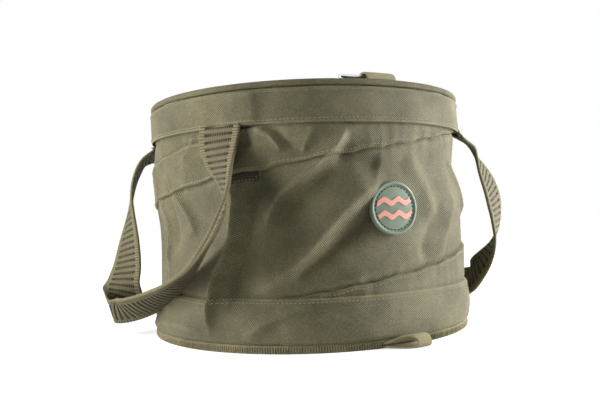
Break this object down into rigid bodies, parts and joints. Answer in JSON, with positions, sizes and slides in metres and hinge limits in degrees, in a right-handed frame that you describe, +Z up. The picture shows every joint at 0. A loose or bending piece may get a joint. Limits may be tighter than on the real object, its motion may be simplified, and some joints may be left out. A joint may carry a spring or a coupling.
{
  "type": "collapsible camp bucket",
  "caption": "Round soft fabric bucket with a stiffened rim and base that folds down flat, with webbing carry handles, a rim loop with a tie ring and a base pull loop.",
  "frame": {"origin": "centre of the base's underside, on the floor", "axes": "+Z up through the mouth, -Y towards the front with the badge, +X through the right handle"},
  "size_m": [0.3695, 0.3149, 0.2102],
  "materials": {
    "fabric": "matte woven",
    "liner": "coated, satin",
    "board": "matte",
    "hoop": "matte",
    "piping": "matte",
    "ribbed_tape": "ribbed",
    "webbing": "ladder weave",
    "badge_rubber": "matte",
    "plated_wire": "bright"
  },
  "bodies": {
    "base": {"base_panel": "fabric", "base_board": "board", "floor_liner": "liner", "base_binding": "ribbed_tape", "bottom_band": "fabric", "front_wall_panel": "fabric", "rear_wall_panel": "fabric", "wall_liner": "liner", "spiral_band": "fabric", "strap_patch": "webbing"},
    "rim": {"rim_hoop": "hoop", "rim_band": "fabric", "rim_facing": "liner", "rim_piping": "piping", "rim_tape_loop": "ribbed_tape"},
    "left_strap_ends": {"left_strap_front_end": "webbing", "left_strap_rear_end": "webbing"},
    "left_handle": {"left_handle_loop": "webbing"},
    "right_strap_ends": {"right_strap_front_end": "webbing", "right_strap_rear_end": "webbing"},
    "right_handle": {"right_handle_loop": "webbing"},
    "tie_ring": {"tie_ring": "plated_wire"},
    "base_tab": {"base_tape_loop": "ribbed_tape"},
    "badge": {"badge": "badge_rubber"}
  },
  "joints": [
    {"name": "collapse", "type": "slide", "parent": "base", "child": "rim", "axis": [0, 0, -1], "range_m": [0, 0.125], "deforming": ["front_wall_panel", "rear_wall_panel", "wall_liner", "spiral_band", "strap_patch"]},
    {"name": "left_strap_fold", "type": "hinge", "parent": "rim", "child": "left_strap_ends", "pos_m": [-0.1285, 0, 0.1696], "axis": [0, 1, 0], "range_deg": [0, 70]},
    {"name": "left_handle_swing", "type": "hinge", "parent": "left_strap_ends", "child": "left_handle", "pos_m": [-0.1355, 0, 0.164], "axis": [0, -1, 0], "range_deg": [-160, 0]},
    {"name": "right_strap_fold", "type": "hinge", "parent": "rim", "child": "right_strap_ends", "pos_m": [0.1285, 0, 0.1696], "axis": [0, -1, 0], "range_deg": [0, 70]},
    {"name": "right_handle_swing", "type": "hinge", "parent": "right_strap_ends", "child": "right_handle", "pos_m": [0.1355, 0, 0.164], "axis": [0, 1, 0], "range_deg": [-160, 0]},
    {"name": "tie_ring_swing", "type": "hinge", "parent": "rim", "child": "tie_ring", "pos_m": [-0.00318, -0.12135, 0.2065], "axis": [0.9997, -0.0262, 0], "range_deg": [-6, 110]},
    {"name": "base_tab_lift", "type": "hinge", "parent": "base", "child": "base_tab", "pos_m": [0.00864, -0.14134, 0.0052], "axis": [-0.9981, -0.0611, 0], "range_deg": [0, 50]},
    {"name": "badge_drop", "type": "slide", "parent": "base", "child": "badge", "axis": [0, -0.0816, -0.9967], "range_m": [0, 0.0614]}
  ],
  "couplings": [
    {"joint": "left_strap_fold", "follows": "collapse", "rad_per_m": 9.77},
    {"joint": "right_strap_fold", "follows": "collapse", "rad_per_m": 9.77},
    {"joint": "badge_drop", "follows": "collapse", "ratio": 0.491}
  ]
}
